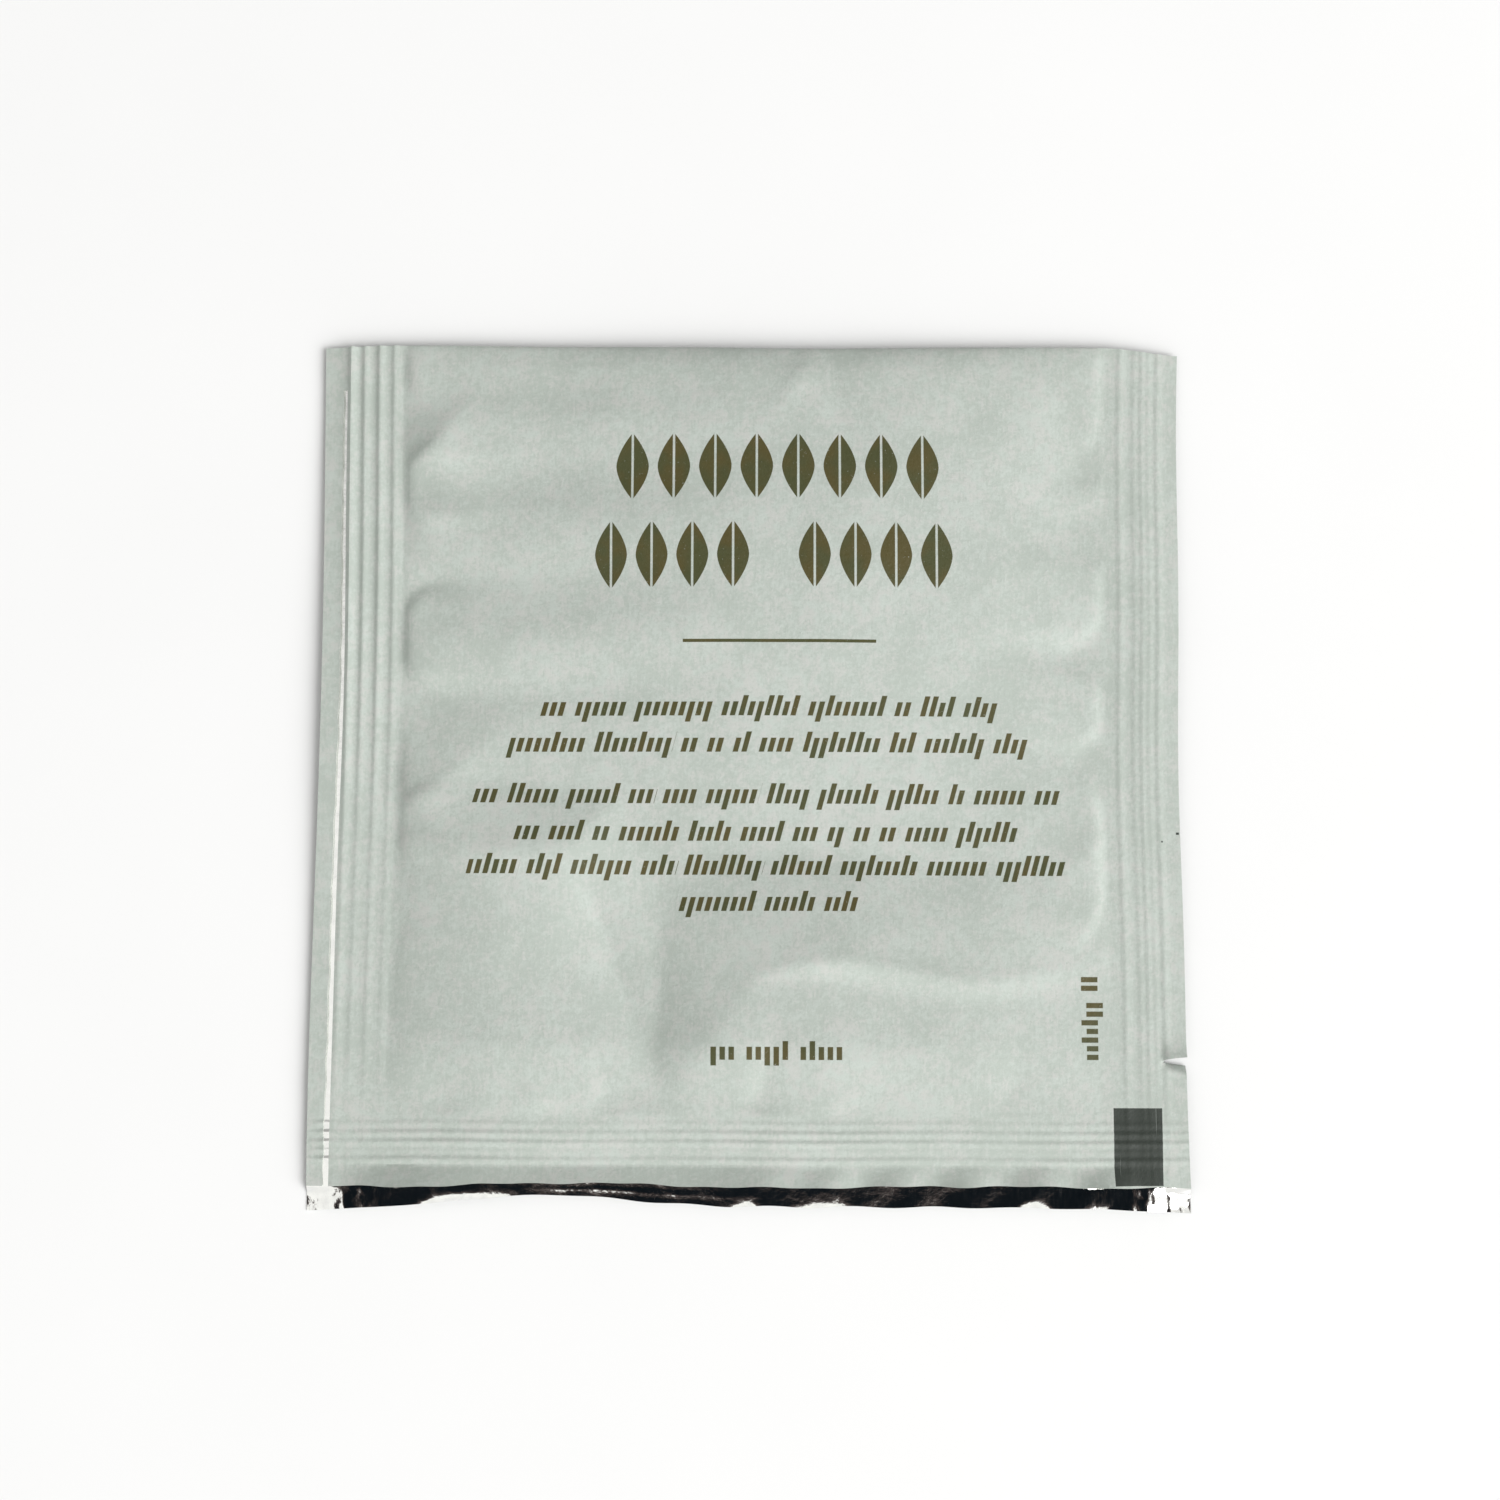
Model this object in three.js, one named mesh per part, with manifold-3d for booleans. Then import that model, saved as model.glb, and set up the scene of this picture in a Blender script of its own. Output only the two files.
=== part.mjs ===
// A sealed tea bag sachet, lying on its back. One web of paper and foil laminate is folded
// along the top edge and heat-sealed to itself along the left, right and bottom edges. The
// tea bag inside lifts the panel between the seals. Millimetres: X runs from the left seal
// to the right seal, Y from the bottom seal to the fold, and Z out of the printed front.

import * as THREE from 'three';
import { mergeVertices } from 'three/addons/utils/BufferGeometryUtils.js';
import Module from 'manifold-3d';

const { clamp, lerp, smoothstep } = THREE.MathUtils;

// Whole sachet
const WIDTH = 75;
const HEIGHT = 75;
const LAYER = 0.1; // one thickness of laminate

// Seals: strips where the front and back layers are fused
const LEFT_SEAL = 6.7;
const RIGHT_SEAL = 6.3;
const BOTTOM_SEAL = 8.1;
const LIP = 2.1; // back layer left bare past the front layer's cut edge
const SEAL_CLEARANCE = 0.8; // underside of the seals above the table

// Ribs that the sealing jaws emboss in both layers, by distance from the edge
const LEFT_RIBS = { first: 2.3, pitch: 1.27, count: 4, height: 0.12 };
const RIGHT_RIBS = { first: 1.75, pitch: 0.84, count: 5, height: 0.1 };
const BOTTOM_RIBS = { first: 4.4, pitch: 0.75, count: 5, height: 0.12 };

// Slit through the front layer beside the left edge, open at the bottom
const SLIT = { inset: 1.95, top: 32.5, narrow: 0.12, wide: 0.52 };
const SLIT_WALL = 0.02; // run of each near-vertical wall of the slit and the lip

// V-shaped tear notch in the right edge
const NOTCH = { y: -24.7, depth: 2.05, mouth: 0.72 };

// Panel raised by the tea bag, and the flat that it rests on
const LOFT = 2.75;
const TEA_BOTTOM = -16.2; // lower end of the tea bag inside
const SLACK_LOFT = 0.6; // share of the loft below that end
const FOLD_RADIUS = 2.4; // how far in from the top edge the fold rounds over
const FOLD_THICKNESS = 0.3;
const REST = { halfWidth: 23, halfHeight: 17, centreY: 6, rise: 11 };

// Spacing of the surface's rows and columns between the seals
const PANEL_STEP = 2.9;

// Dents of the panel: middle, reach across and along the crease, its turn from the Y axis,
// and depth
const DENTS = [
  { x: -26, y: 17.5, across: 2.2, along: 6, turn: 1.5, depth: 0.35 },
  { x: -26, y: 6, across: 2, along: 6, turn: 1.5, depth: 0.3 },
  { x: -24, y: -4.5, across: 2.2, along: 6, turn: 1.2, depth: 0.3 },
  { x: -11, y: -17.5, across: 2.8, along: 8, turn: 0.55, depth: 0.7 },
  { x: 25, y: 23, across: 1.8, along: 7, turn: -1, depth: 0.4 },
  { x: 26.5, y: 10.8, across: 1.4, along: 5, turn: -1.3, depth: 0.4 },
];

// ---- Outline ----

const upTheSide = (y) => clamp(y / HEIGHT + 0.5, 0, 1);

const leftEdge = (y) => -WIDTH / 2 + 0.2 - 0.2 * Math.cos(2 * Math.PI * (upTheSide(y) - 0.12));

const rightEdge = (y) => WIDTH / 2 - 0.6 * Math.sin(Math.PI * upTheSide(y));

function topEdge(x) {
  const shoulders = smoothstep(Math.abs(x), 31, WIDTH / 2);
  const sag = 0.15 * Math.cos((Math.PI * clamp(x, -31, 31)) / 62);
  return HEIGHT / 2 - sag - shoulders * (x > 0 ? 0.6 : 0.2);
}

function bottomEdge(x) {
  const pulledIn = 1.0 * Math.exp(-(((x + 17) / 10) ** 2));
  const middle = 0.55 * (1 - Math.abs(x / (WIDTH / 2)) ** 6);
  return -HEIGHT / 2 + pulledIn + middle;
}

const frontCut = (x) => -HEIGHT / 2 + LIP + 0.45 * Math.exp(-(((x + 16) / 12) ** 2));

// ---- Heights ----

function corrugation(distance, { first, pitch, count, height }) {
  const turns = (distance - first) / pitch;
  const inside = turns > -0.5 && turns < count - 0.5;
  return inside ? 0.5 * height * (1 + Math.cos(2 * Math.PI * turns)) : 0;
}

function sealPress(x, y) {
  const left = corrugation(x - leftEdge(y), LEFT_RIBS);
  const right = corrugation(rightEdge(y) - x, RIGHT_RIBS);
  const bottom = corrugation(y + HEIGHT / 2, BOTTOM_RIBS);
  return Math.max(left, right) + bottom;
}

// 0 on a seal, rising steeply off its inner line and then flattening out
const swell = (distance, reach) => 1 - (1 - clamp(distance / reach, 0, 1)) ** 2.4;

function foldRound(x, y) {
  const reach = clamp((topEdge(x) - y) / FOLD_RADIUS, 0, 1);
  return Math.sqrt(1 - (1 - reach) ** 2);
}

function dentDepth(x, y) {
  return DENTS.reduce((sum, dent) => {
    const dx = x - dent.x;
    const dy = y - dent.y;
    const across = dx * Math.cos(dent.turn) + dy * Math.sin(dent.turn);
    const along = dy * Math.cos(dent.turn) - dx * Math.sin(dent.turn);
    return sum + dent.depth * Math.exp(-((across / dent.across) ** 2 + (along / dent.along) ** 2));
  }, 0);
}

function loft(x, y) {
  const sideways = swell(x - leftEdge(y) - LEFT_SEAL, 15) * swell(rightEdge(y) - x - RIGHT_SEAL, 15);
  const offBottom = swell(y + HEIGHT / 2 - BOTTOM_SEAL, 7);
  const offFold = 0.45 + 0.55 * swell(topEdge(x) - y, 16);
  const overTea = lerp(SLACK_LOFT, 1, smoothstep(y, TEA_BOTTOM - 8, TEA_BOTTOM + 6));
  const smooth = LOFT * sideways * offBottom * offFold * overTea;
  return Math.max(0, smooth - dentDepth(x, y) * sideways ** 0.5) * foldRound(x, y);
}

function underside(x, y) {
  const dx = Math.max(0, Math.abs(x) - REST.halfWidth);
  const dy = Math.max(0, Math.abs(y - REST.centreY) - REST.halfHeight);
  const lifted = SEAL_CLEARANCE * smoothstep(Math.hypot(dx, dy), 0, REST.rise);
  const fold = 0.5 * (1 - foldRound(x, y)) * (1 - smoothstep(Math.abs(x), 28, 33));
  return lifted === 0 ? 0 : lifted + sealPress(x, y) + fold;
}

const slitWidth = (y) => lerp(SLIT.narrow, SLIT.wide, smoothstep(-y, -SLIT.top, HEIGHT / 2));

function frontLayerMissing(x, y) {
  const right = leftEdge(y) + SLIT.inset;
  const inSlit = y < SLIT.top && x > right - slitWidth(y) + SLIT_WALL / 2 && x < right - SLIT_WALL / 2;
  const onLip = y < frontCut(x) - SLIT_WALL / 2;
  return inSlit || onLip;
}

function topside(x, y) {
  const layers = frontLayerMissing(x, y) ? LAYER : 2 * LAYER;
  const foldGap = (FOLD_THICKNESS - 2 * LAYER) * (1 - smoothstep(Math.abs(x), 28, 33));
  const rim = topEdge(x) - y < FOLD_RADIUS ? foldGap : 0;
  const back = SEAL_CLEARANCE + sealPress(x, y);
  return back + layers + rim + loft(x, y);
}

// ---- Rows and columns of the surface ----

function ribPlaces({ first, pitch, count }) {
  const places = [];
  for (let half = -1; half < 2 * count; half += 1) {
    places.push(first + (half * pitch) / 2);
  }
  return places;
}

function evenly(from, to, step) {
  const count = Math.round((to - from) / step);
  return Array.from({ length: count + 1 }, (_, i) => lerp(from, to, i / count));
}

// Each line of the grid is a function, because the edges and the slit aren't straight
function columnLines() {
  const slitRight = (y) => leftEdge(y) + SLIT.inset;
  const strip = [
    leftEdge,
    (y) => slitRight(y) - slitWidth(y),
    (y) => slitRight(y) - slitWidth(y) + SLIT_WALL,
    (y) => slitRight(y) - SLIT_WALL,
    slitRight,
  ];
  const leftRibs = ribPlaces(LEFT_RIBS).slice(1).map((inset) => (y) => leftEdge(y) + inset);
  const rightRibs = ribPlaces(RIGHT_RIBS).reverse().map((inset) => (y) => rightEdge(y) - inset);
  const panel = evenly(0, 1, PANEL_STEP / (WIDTH - LEFT_SEAL - RIGHT_SEAL)).map(
    (share) => (y) => lerp(leftEdge(y) + LEFT_SEAL, rightEdge(y) - RIGHT_SEAL, share),
  );
  return [...strip, ...leftRibs, ...panel, ...rightRibs, rightEdge];
}

function rowLines() {
  const ribs = ribPlaces(BOTTOM_RIBS).map((inset) => () => inset - HEIGHT / 2);
  const foldStart = HEIGHT / 2 - FOLD_RADIUS;
  const panel = evenly(BOTTOM_SEAL - HEIGHT / 2, foldStart, PANEL_STEP).map((y) => () => y);
  const fold = [0.6, 0.25, 0.06].map((share) => (x) => topEdge(x) - FOLD_RADIUS * share);
  return [bottomEdge, (x) => frontCut(x) - SLIT_WALL, frontCut, ...ribs, ...panel, ...fold, topEdge];
}

// ---- Solids ----

// The point where a row and a column cross
function crossing(column, row) {
  let x = column(0);
  let y = row(x);
  for (let pass = 0; pass < 4; pass += 1) {
    x = column(y);
    y = row(x);
  }
  return [x, y];
}

function makePillow() {
  const columns = columnLines();
  const rows = rowLines();
  const across = columns.length;
  const places = rows.flatMap((row) => columns.map((column) => crossing(column, row)));
  const top = places.map(([x, y]) => [x, y, topside(x, y)]);
  const bottom = places.map(([x, y]) => [x, y, underside(x, y)]);
  const under = places.length;

  const faces = [];
  const quad = (a, b, c, d) => faces.push(a, b, c, a, c, d);
  for (let r = 0; r + 1 < rows.length; r += 1) {
    for (let c = 0; c + 1 < across; c += 1) {
      const at = r * across + c;
      quad(at, at + 1, at + across + 1, at + across);
      quad(under + at, under + at + across, under + at + across + 1, under + at + 1);
    }
  }
  const wall = (a, b) => quad(a, under + a, under + b, b);
  const last = (rows.length - 1) * across;
  for (let c = 0; c + 1 < across; c += 1) {
    wall(c, c + 1);
    wall(last + c + 1, last + c);
  }
  for (let r = 0; r + 1 < rows.length; r += 1) {
    wall((r + 1) * across, r * across);
    wall(r * across + across - 1, (r + 1) * across + across - 1);
  }

  const geometry = new THREE.BufferGeometry();
  geometry.setAttribute('position', new THREE.Float32BufferAttribute([...top, ...bottom].flat(), 3));
  geometry.setIndex(faces);
  return geometry;
}

function makeNotchCutter() {
  const mouth = new THREE.Vector2(rightEdge(NOTCH.y), NOTCH.y);
  const outline = new THREE.Shape([
    new THREE.Vector2(mouth.x - NOTCH.depth, mouth.y),
    new THREE.Vector2(mouth.x + 1, mouth.y - NOTCH.mouth / 2),
    new THREE.Vector2(mouth.x + 1, mouth.y + NOTCH.mouth / 2),
  ]);
  const cutter = new THREE.ExtrudeGeometry(outline, { depth: 4, bevelEnabled: false });
  return cutter.translate(0, 0, -1);
}

function toManifold(wasm, geometry) {
  const bare = geometry.clone();
  bare.deleteAttribute('normal');
  bare.deleteAttribute('uv');
  const merged = mergeVertices(bare, 1e-5);
  const mesh = new wasm.Mesh({
    numProp: 3,
    vertProperties: new Float32Array(merged.attributes.position.array),
    triVerts: new Uint32Array(merged.index.array),
  });
  return new wasm.Manifold(mesh);
}

function toGeometry(solid) {
  const mesh = solid.getMesh();
  const geometry = new THREE.BufferGeometry();
  geometry.setAttribute('position', new THREE.BufferAttribute(mesh.vertProperties, 3));
  geometry.setIndex(new THREE.BufferAttribute(mesh.triVerts, 1));
  geometry.computeVertexNormals();
  return geometry;
}

const wasm = await Module();
wasm.setup();

const body = toManifold(wasm, makePillow()).subtract(toManifold(wasm, makeNotchCutter()));

const paper = new THREE.MeshStandardMaterial({ color: 0xc6cdc4, roughness: 0.75, metalness: 0 });
const sachet = new THREE.Mesh(toGeometry(body), paper);
sachet.name = 'sachet';

const group = new THREE.Group();
group.add(sachet);
export default group;
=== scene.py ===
"""A sealed tea bag sachet of paper and foil laminate, lying on its back on a pale table.

Lengths are in millimetres until a mesh, a light or the camera is made. X runs from the left seal
to the right seal, Y from the bottom seal to the folded top edge, and Z out of the printed front.
"""

import math
import random

import bpy
import numpy as np
from mathutils import Matrix, Vector, noise


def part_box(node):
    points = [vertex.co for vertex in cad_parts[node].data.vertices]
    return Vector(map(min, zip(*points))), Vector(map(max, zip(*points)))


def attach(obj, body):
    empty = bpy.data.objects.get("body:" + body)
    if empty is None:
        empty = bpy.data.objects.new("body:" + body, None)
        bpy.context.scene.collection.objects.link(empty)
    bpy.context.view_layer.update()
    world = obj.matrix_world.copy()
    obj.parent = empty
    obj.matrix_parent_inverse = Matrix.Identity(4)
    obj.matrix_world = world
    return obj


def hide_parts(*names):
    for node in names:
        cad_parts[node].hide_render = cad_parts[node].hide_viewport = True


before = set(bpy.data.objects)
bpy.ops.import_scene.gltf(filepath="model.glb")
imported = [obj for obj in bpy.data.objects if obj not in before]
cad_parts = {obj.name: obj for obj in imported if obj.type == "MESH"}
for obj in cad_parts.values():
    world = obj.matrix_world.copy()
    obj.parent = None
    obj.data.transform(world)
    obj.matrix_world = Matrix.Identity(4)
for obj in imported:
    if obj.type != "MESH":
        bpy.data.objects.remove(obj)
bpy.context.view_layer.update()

BOX_LOW, BOX_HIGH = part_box("sachet")

MM = 0.001

# Whole sachet, from the frame
HALF_WIDTH = (BOX_HIGH.x - BOX_LOW.x) / MM / 2
HALF_HEIGHT = (BOX_HIGH.y - BOX_LOW.y) / MM / 2

LAYER = 0.09  # one thickness of laminate
SEAL_LIFT = 0.8  # underside of the seals above the table

# Seals, by distance in from the sachet's edges
LEFT_SEAL = 6.7
RIGHT_SEAL = 6.3
BOTTOM_SEAL = 8.1
POCKET_ROOT = 3.95  # the front's loose margin is free of the back layer below this
LIP = 2.1  # back layer left bare past the front's cut edge
FOLD_REACH = 3.2  # how far in from the top edge the fold rounds over

# Ribs embossed by the sealing jaws: distances in from the edge, heights, and which flank is the
# steep one, 1 for the flank by the edge and -1 for the other
LEFT_RIBS = {"places": (2.3, 3.5, 4.82, 6.1), "heights": (0.2, 0.11, 0.13, 0.08), "toward": 1}
RIGHT_RIBS = {
    "places": (1.75, 2.5, 3.12, 3.77, 5.1),
    "heights": (0.1, 0.07, 0.1, 0.07, 0.09),
    "toward": -1,
}
BOTTOM_RIBS = {
    "places": (4.4, 5.15, 5.85, 6.62, 7.4),
    "heights": (0.12, 0.06, 0.15, 0.12, 0.06),
    "toward": -1,
}
RIB_STEEP, RIB_GENTLE = 0.2, 0.4  # half widths of the two flanks

# Slit through the front layer beside the left edge, open at the bottom: distance in from the
# edge to its right side, the Y of its closed end, and its width at the top and at the bottom
SLIT = {"inset": 1.95, "top": 33.5, "narrow": 0.36, "wide": 0.52}

# Places where the bare lip droops: middle, half width, and drop
LIP_DROOPS = (
    (-24.6, 3.1, 0.26),
    (-0.4, 0.9, 0.16),
    (6.4, 2.2, 0.14),
    (24.2, 1.3, 0.2),
    (30.2, 1.2, 0.12),
)

# V-shaped tear notch in the right edge
NOTCH = {"y": -24.7, "depth": 2.05, "half_mouth": 0.36, "half_tip": 0.03}

# Spacing of the mesh, coarse between the seals and fine on them and round the notch
PANEL_STEP = 0.5
SEAL_STEP = 0.13
NOTCH_STEP = 0.2
FINE_STRIP = 0.9  # the fine spacing goes on this far past a seal


# ---------------------------------------------------------------- smooth functions


def smoothstep(value, low, high):
    """0 up to low, 1 from high on, and smooth between."""
    t = np.clip((value - low) / (high - low), 0, 1)
    return t * t * (3 - 2 * t)


def mix(a, b, share):
    return a + (b - a) * share


def bell(value, width):
    """1 at 0, falling to about a third at the width on both sides."""
    return np.exp(-((value / width) ** 2))


def soft_min(a, b, radius):
    """The lower of two heights, with the corner between them rounded."""
    h = np.clip(0.5 + 0.5 * (b - a) / radius, 0, 1)
    return mix(b, a, h) - radius * h * (1 - h)


def soft_max(a, b, radius):
    return -soft_min(-a, -b, radius)


def rise(distance, reach, power=2.2):
    """0 at a seal, steep at first, 1 at the reach."""
    return 1 - (1 - np.clip(distance / reach, 0, 1)) ** power


def wander(x, y, wavelength, seed):
    """Smooth seeded noise between about -1 and 1."""
    u = x / wavelength + seed * 17.3
    v = y / wavelength - seed * 9.1
    flat = [noise.noise((a, b, seed * 3.7)) for a, b in zip(u.ravel(), v.ravel())]
    return np.array(flat).reshape(u.shape) * 1.6


def crumpled(x, y, patterns):
    """Several noises on top of each other, each a height, a wavelength and a seed."""
    return sum(height * wander(x, y, length, seed) for height, length, seed in patterns)


# ---------------------------------------------------------------- outline


def up_the_side(y):
    return np.clip(y / HALF_HEIGHT / 2 + 0.5, 0, 1)


def left_edge(y):
    return -HALF_WIDTH + 0.2 - 0.2 * np.cos(2 * np.pi * (up_the_side(y) - 0.12))


def right_edge(y):
    t = up_the_side(y)
    return HALF_WIDTH - 0.5 * np.sin(np.pi * t) - 0.08 * np.sin(5 * np.pi * t)


def top_edge(x):
    shoulders = smoothstep(np.abs(x), 31, HALF_WIDTH)
    sag = 0.16 * np.cos(np.pi * np.clip(x, -31, 31) / 62) + 0.05 * np.sin(x / 4.1) * bell(x, 22)
    return HALF_HEIGHT - sag - shoulders * np.where(x > 0, 0.6, 0.15)


def bottom_edge(x):
    pulled_in = 0.95 * bell(x + 17, 9)
    middle = 0.5 * (1 - np.abs(x / HALF_WIDTH) ** 6)
    ripple = 0.09 * np.sin(x * 0.9) * bell(x - 5, 24)
    return -HALF_HEIGHT + pulled_in + middle + ripple


def front_cut(x):
    ripple = 0.06 * np.sin(x * 0.55 + 1) + 0.04 * np.sin(x * 1.3)
    return -HALF_HEIGHT + LIP + 0.42 * bell(x + 15, 11) + 0.2 * bell(x - 20, 13) + ripple


def slit_right(y):
    return left_edge(y) + SLIT["inset"] + 0.04 * np.sin(y * 0.21)


def slit_width(y):
    opening = smoothstep(-y, -SLIT["top"], HALF_HEIGHT) ** 0.6
    ragged = 1 + 0.12 * np.sin(y * 1.7) * np.sin(y * 0.43)
    return mix(SLIT["narrow"], SLIT["wide"], opening) * ragged


# ---------------------------------------------------------------- relief of the front

# Pleats that run from a seal or the fold into the panel: start, end in the panel, depth (below
# 0 is a ridge), and the reach of the paper's slope to the left and right of the line
FRONT_PLEATS = (
    # left side, from the top
    {"start": (-28.8, 27.0), "end": (-22.0, 35.2), "depth": -0.85, "left": 1.8, "right": 3.0},
    {"start": (-29.8, 21.4), "end": (-20.0, 22.6), "depth": -0.3, "left": 1.8, "right": 1.2},
    {"start": (-29.0, 16.2), "end": (-22.0, 16.0), "depth": 0.2, "left": 0.8, "right": 0.7},
    {"start": (-28.4, 8.6), "end": (-22.4, 7.6), "depth": -0.14, "left": 0.6, "right": 0.9},
    {"start": (-29.2, -3.2), "end": (-17.5, 6.2), "depth": -0.95, "left": 3.6, "right": 4.4},
    {"start": (-29.6, -6.0), "end": (-19.0, -6.6), "depth": -0.26, "left": 1.6, "right": 1.2},
    # top edge
    {"start": (6.6, 37.6), "end": (9.0, 22.0), "depth": 0.36, "left": 2.6, "right": 2.2},
    {"start": (5.0, 35.4), "end": (0.0, 28.6), "depth": -0.26, "left": 1.2, "right": 1.0},
    {"start": (3.8, 37.6), "end": (3.6, 34.6), "depth": 0.25, "left": 0.5, "right": 0.6},
    {"start": (9.4, 37.6), "end": (9.2, 35.2), "depth": 0.2, "left": 0.5, "right": 0.6},
    {"start": (-17.5, 37.6), "end": (-15.5, 31.0), "depth": 0.14, "left": 1.4, "right": 1.4},
    # right side, from the top
    {"start": (29.8, 25.6), "end": (25.0, 34.4), "depth": 0.4, "left": 1.7, "right": 1.0},
    {"start": (31.0, 19.6), "end": (18.0, 27.4), "depth": 0.5, "left": 2.0, "right": 1.5},
    {"start": (30.8, 9.8), "end": (21.6, 11.6), "depth": 0.42, "left": 1.6, "right": 0.8},
    {"start": (30.6, 1.2), "end": (25.4, -0.6), "depth": 0.24, "left": 0.9, "right": 1.4},
    {"start": (30.6, -5.6), "end": (24.4, -10.6), "depth": -0.24, "left": 1.4, "right": 1.4},
    # bottom edge
    {"start": (-25.0, -29.6), "end": (-28.6, -22.4), "depth": 0.26, "left": 1.2, "right": 1.2},
    {"start": (-17.6, -29.6), "end": (-19.2, -24.4), "depth": -0.2, "left": 1.4, "right": 1.4},
    {"start": (-11.4, -29.6), "end": (-13.4, -22.6), "depth": 0.3, "left": 1.0, "right": 1.8},
    {"start": (0.6, -29.6), "end": (3.0, -18.5), "depth": 0.4, "left": 1.0, "right": 2.6},
    {"start": (8.2, -29.6), "end": (3.6, -25.4), "depth": -0.22, "left": 1.2, "right": 1.2},
    {"start": (23.0, -29.6), "end": (22.2, -17.5), "depth": 0.28, "left": 1.6, "right": 2.0},
)

# The long crease between the tea bag and the slack paper on its lower left, which deepens
# slowly and fades late
LONG_CREASE = {
    "start": (-15.6, -6.0),
    "end": (-5.0, -32.5),
    "depth": 1.25,
    "left": 2.9,
    "right": 2.4,
    "fade_in": 9.0,
    "fade_from": 0.42,
}

# Stretches of the side seals where the panel stands up steeply at once: from, to, height
LEFT_WALLS = (
    (31.8, 43, 0.4),
    (21.6, 28.4, 0.5),
    (7.2, 15.8, 0.5),
    (-8.0, -1.6, 0.34),
    (-24, -13, 0.1),
)
RIGHT_WALLS = (
    (27.5, 42, 0.22),
    (11.6, 19.0, 0.24),
    (2.2, 9.0, 0.3),
    (-14.5, 0.5, 0.4),
)
WALL_CURL = 4.2  # how far in from the seal the ends of such a stretch curve
WALL_RUN = 7.0  # how far into the panel it dies away

# Soft swells that run across the panel from the left seal
SWELLS = {"crest": 21.7, "wavelength": 9.6, "height": 0.19, "low": 3.0, "high": 36.0, "fade": 5}

# Facets of the panel round the tea bag's lower rim: a point, the height there, and how the
# height changes with X and with Y
BAG_RIGHT = {"at": (0, -16.2), "height": 2.45, "grade": (0, -0.21)}
BAG_MIDDLE = {"at": (6.7, -16.2), "height": 2.4, "grade": (0.135, -0.05)}
RIM_FALL = {"at": (0, -16.2), "height": 2.4, "grade": (0, 0.5)}
SLACK_RIGHT = {"at": (0, -16.2), "height": 1.7, "grade": (0, 0.045)}
BAG_LEFT = {"at": (-22, -7.4), "height": 1.9, "grade": (0.02, -0.25)}
SLACK_LEFT = {"at": (-22, -7.4), "height": 1.9, "grade": (-0.02, 0.04)}
SLACK_MIDDLE = {"at": (-15.2, -13), "height": 2.0, "grade": (-0.23, -0.03)}

# Where the rim dips toward the bottom edge
RIM_SAG = {"at": 19.5, "width": 8.5, "drop": 1.9}

# Height of the panel over the tea bag, which grows with Y
BAG_LEVEL = {"low": 0.1, "rise": 2.5, "from": -17, "to": 18}

# Cockling of the paper all over the panel: height, wavelength and seed
COCKLE = ((0.06, 6.5, 1), (0.02, 2.6, 2))


def pleat(x, y, start, end, depth, left, right, fade_in=1.5, fade_from=0.1):
    """Full depth at fade_in past the start, and fading from that share of its length on."""
    run = np.array(end) - np.array(start)
    length = math.hypot(*run)
    ux, uy = run / length
    along = (x - start[0]) * ux + (y - start[1]) * uy
    across = (y - start[1]) * ux - (x - start[0]) * uy
    reach = np.where(across > 0, left, right) * (1 + 0.5 * np.clip(along / length, 0, 1))
    fade = smoothstep(along, -1.2, fade_in)
    fade = fade * (1 - smoothstep(along, fade_from * length, length))
    return -depth * np.exp(-((np.abs(across) / reach) ** 1.25)) * fade


def facet(x, y, at, height, grade):
    return height + (x - at[0]) * grade[0] + (y - at[1]) * grade[1]


def bag_shape(x, y, from_left):
    """The panel over the tea bag and below its rim, before the right and top pull it down."""
    grown = smoothstep(y, BAG_LEVEL["from"], BAG_LEVEL["to"])
    level = BAG_LEVEL["low"] + BAG_LEVEL["rise"] * grown
    middle = level * rise(from_left, 30, 1.25)
    from_rim = y + RIM_SAG["drop"] * bell(x - RIM_SAG["at"], RIM_SAG["width"])
    to_rim = soft_min(facet(x, from_rim, **BAG_RIGHT), facet(x, y, **BAG_MIDDLE), 0.4)
    below_rim = soft_max(facet(x, from_rim, **RIM_FALL), facet(x, y, **SLACK_RIGHT), 0.25)
    right = soft_min(soft_max(middle, to_rim, 0.3), below_rim, 0.1)
    slack = soft_min(facet(x, y, **SLACK_LEFT), facet(x, y, **SLACK_MIDDLE), 0.3)
    left = soft_min(slack, facet(x, y, **BAG_LEFT), 0.25) * rise(from_left, 10, 1.6)
    return soft_max(right, left, 0.3)


def swells(x, y, from_left):
    """Soft waves across the left half, which die away toward the middle."""
    phase = 2 * np.pi * (y - 0.06 * x - SWELLS["crest"]) / SWELLS["wavelength"]
    along = smoothstep(y, SWELLS["low"], SWELLS["low"] + SWELLS["fade"])
    along = along * (1 - smoothstep(y, SWELLS["high"] - SWELLS["fade"], SWELLS["high"]))
    across = smoothstep(from_left, 0, 3) * (1 - smoothstep(x, -14, 4))
    return SWELLS["height"] * np.cos(phase) * along * across


def walls(distance, y, stretches):
    """Puffs that stand up at once beside a seal, rounded like a bracket at both ends."""
    height = 0
    for low, high, tall in stretches:
        half = (high - low) / 2
        off = np.abs(y - (low + high) / 2) / half
        inward = distance - WALL_CURL * np.clip(off - 0.35, 0, None) ** 2
        inside = 1 - smoothstep(off, 0.6, 1.3)
        run = np.exp(-np.clip(inward, 0, None) / WALL_RUN)
        height = height + tall * inside * smoothstep(inward, -0.2, 1.1) * run
    return height


def round_over(from_top):
    """A quarter circle from 0 at the fold to 1 at its reach."""
    return np.sqrt(1 - (1 - np.clip(from_top / FOLD_REACH, 0, 1)) ** 2)


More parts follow.
